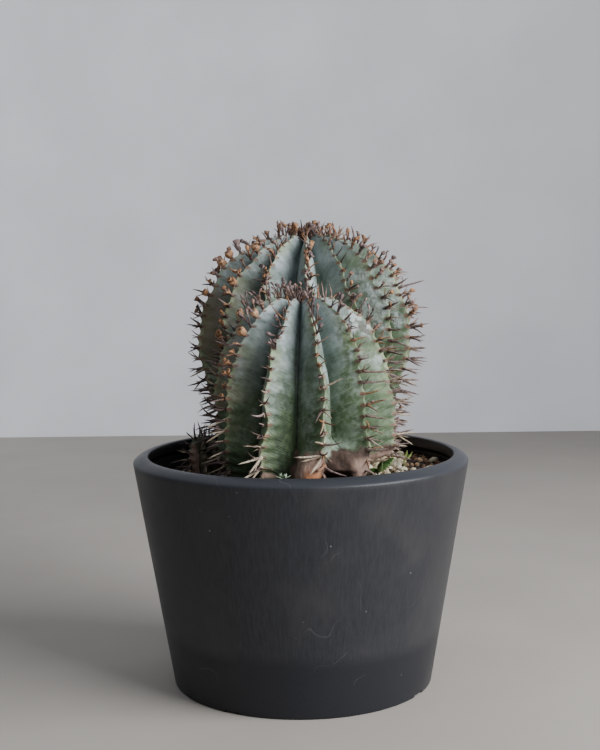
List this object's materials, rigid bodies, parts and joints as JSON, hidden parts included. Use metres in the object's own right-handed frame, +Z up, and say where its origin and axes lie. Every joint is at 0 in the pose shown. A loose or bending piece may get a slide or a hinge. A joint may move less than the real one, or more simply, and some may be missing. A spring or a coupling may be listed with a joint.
{
  "type": "potted euphorbia",
  "caption": "Potted ribbed spiny succulent: a tall and a short stem pressed together with a small offset, in gritty soil in a round tapered plastic pot.",
  "frame": {"origin": "centre of the pot's underside, on the surface that it stands on", "axes": "+Z up along the pot's axis; -Y is the front, where the shorter stem stands; +X is to the right seen from the front"},
  "size_m": [0.18, 0.1806, 0.2471],
  "materials": {
    "pot_plastic": "matte",
    "soil_mix": "matte",
    "stem_skin": "matte",
    "weed_leaf": "satin"
  },
  "bodies": {
    "root": {"pot": "pot_plastic", "soil": "soil_mix", "stem_front": "stem_skin", "stem_back": "stem_skin", "offset_stem": "stem_skin", "weed_front": "weed_leaf", "weed_right": "weed_leaf", "weed_far": "weed_leaf"}
  },
  "joints": []
}
